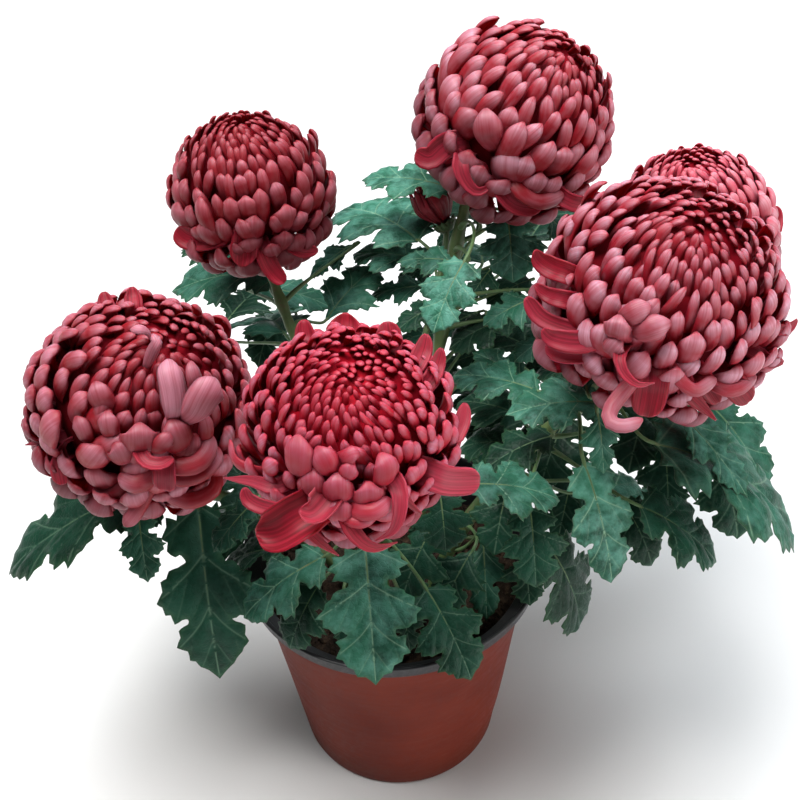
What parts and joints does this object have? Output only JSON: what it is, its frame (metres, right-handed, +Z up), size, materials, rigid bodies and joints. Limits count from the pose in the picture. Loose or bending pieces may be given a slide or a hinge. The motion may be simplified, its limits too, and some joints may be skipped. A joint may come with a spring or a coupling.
{
  "type": "pot chrysanthemum",
  "caption": "Potted chrysanthemum with large incurved rose-red blooms, a half-open bud and lobed blue-green leaves in a terracotta and black nursery pot.",
  "frame": {"origin": "centre of the pot's flat base, on the surface it stands on", "axes": "+Z up along the pot's axis, -Y toward the front of the plant, +X to the right seen from the front"},
  "size_m": [0.4618, 0.3501, 0.4313],
  "materials": {
    "terracotta_plastic": "satin",
    "black_plastic": "satin",
    "dark_soil": "matte",
    "green_stem": "satin",
    "rose_florets": "matte",
    "crimson_florets": "matte",
    "blue_green_leaf": "matte"
  },
  "bodies": {
    "root": {"bloom_a": "rose_florets", "bloom_b": "rose_florets", "bloom_c": "rose_florets", "bloom_d": "rose_florets", "bloom_e": "rose_florets", "bloom_f": "rose_florets", "bud_florets": "crimson_florets", "leaf_01": "blue_green_leaf", "leaf_02": "blue_green_leaf", "leaf_03": "blue_green_leaf", "leaf_04": "blue_green_leaf", "leaf_05": "blue_green_leaf", "leaf_06": "blue_green_leaf", "leaf_07": "blue_green_leaf", "leaf_08": "blue_green_leaf", "leaf_09": "blue_green_leaf", "leaf_10": "blue_green_leaf", "leaf_11": "blue_green_leaf", "leaf_12": "blue_green_leaf", "leaf_13": "blue_green_leaf", "leaf_14": "blue_green_leaf", "leaf_15": "blue_green_leaf", "leaf_16": "blue_green_leaf", "leaf_17": "blue_green_leaf", "leaf_18": "blue_green_leaf", "leaf_19": "blue_green_leaf", "leaf_20": "blue_green_leaf", "leaf_21": "blue_green_leaf", "leaf_22": "blue_green_leaf", "leaf_23": "blue_green_leaf", "leaf_24": "blue_green_leaf", "leaf_25": "blue_green_leaf", "leaf_26": "blue_green_leaf", "leaf_27": "blue_green_leaf", "leaf_28": "blue_green_leaf", "leaf_29": "blue_green_leaf", "leaf_30": "blue_green_leaf", "leaf_31": "blue_green_leaf", "leaf_32": "blue_green_leaf", "leaf_33": "blue_green_leaf", "leaf_34": "blue_green_leaf", "leaf_35": "blue_green_leaf", "leaf_36": "blue_green_leaf", "leaf_37": "blue_green_leaf", "leaf_38": "blue_green_leaf", "leaf_39": "blue_green_leaf", "leaf_40": "blue_green_leaf", "leaf_41": "blue_green_leaf", "leaf_42": "blue_green_leaf", "leaf_43": "blue_green_leaf", "pot_lining_and_rim": "black_plastic", "pot_outer_shell": "terracotta_plastic", "potting_soil": "dark_soil", "stem_a": "green_stem", "stem_b": "green_stem", "stem_bud": "green_stem", "stem_c": "green_stem", "stem_d": "green_stem", "stem_e": "green_stem", "stem_f": "green_stem"}
  },
  "joints": []
}
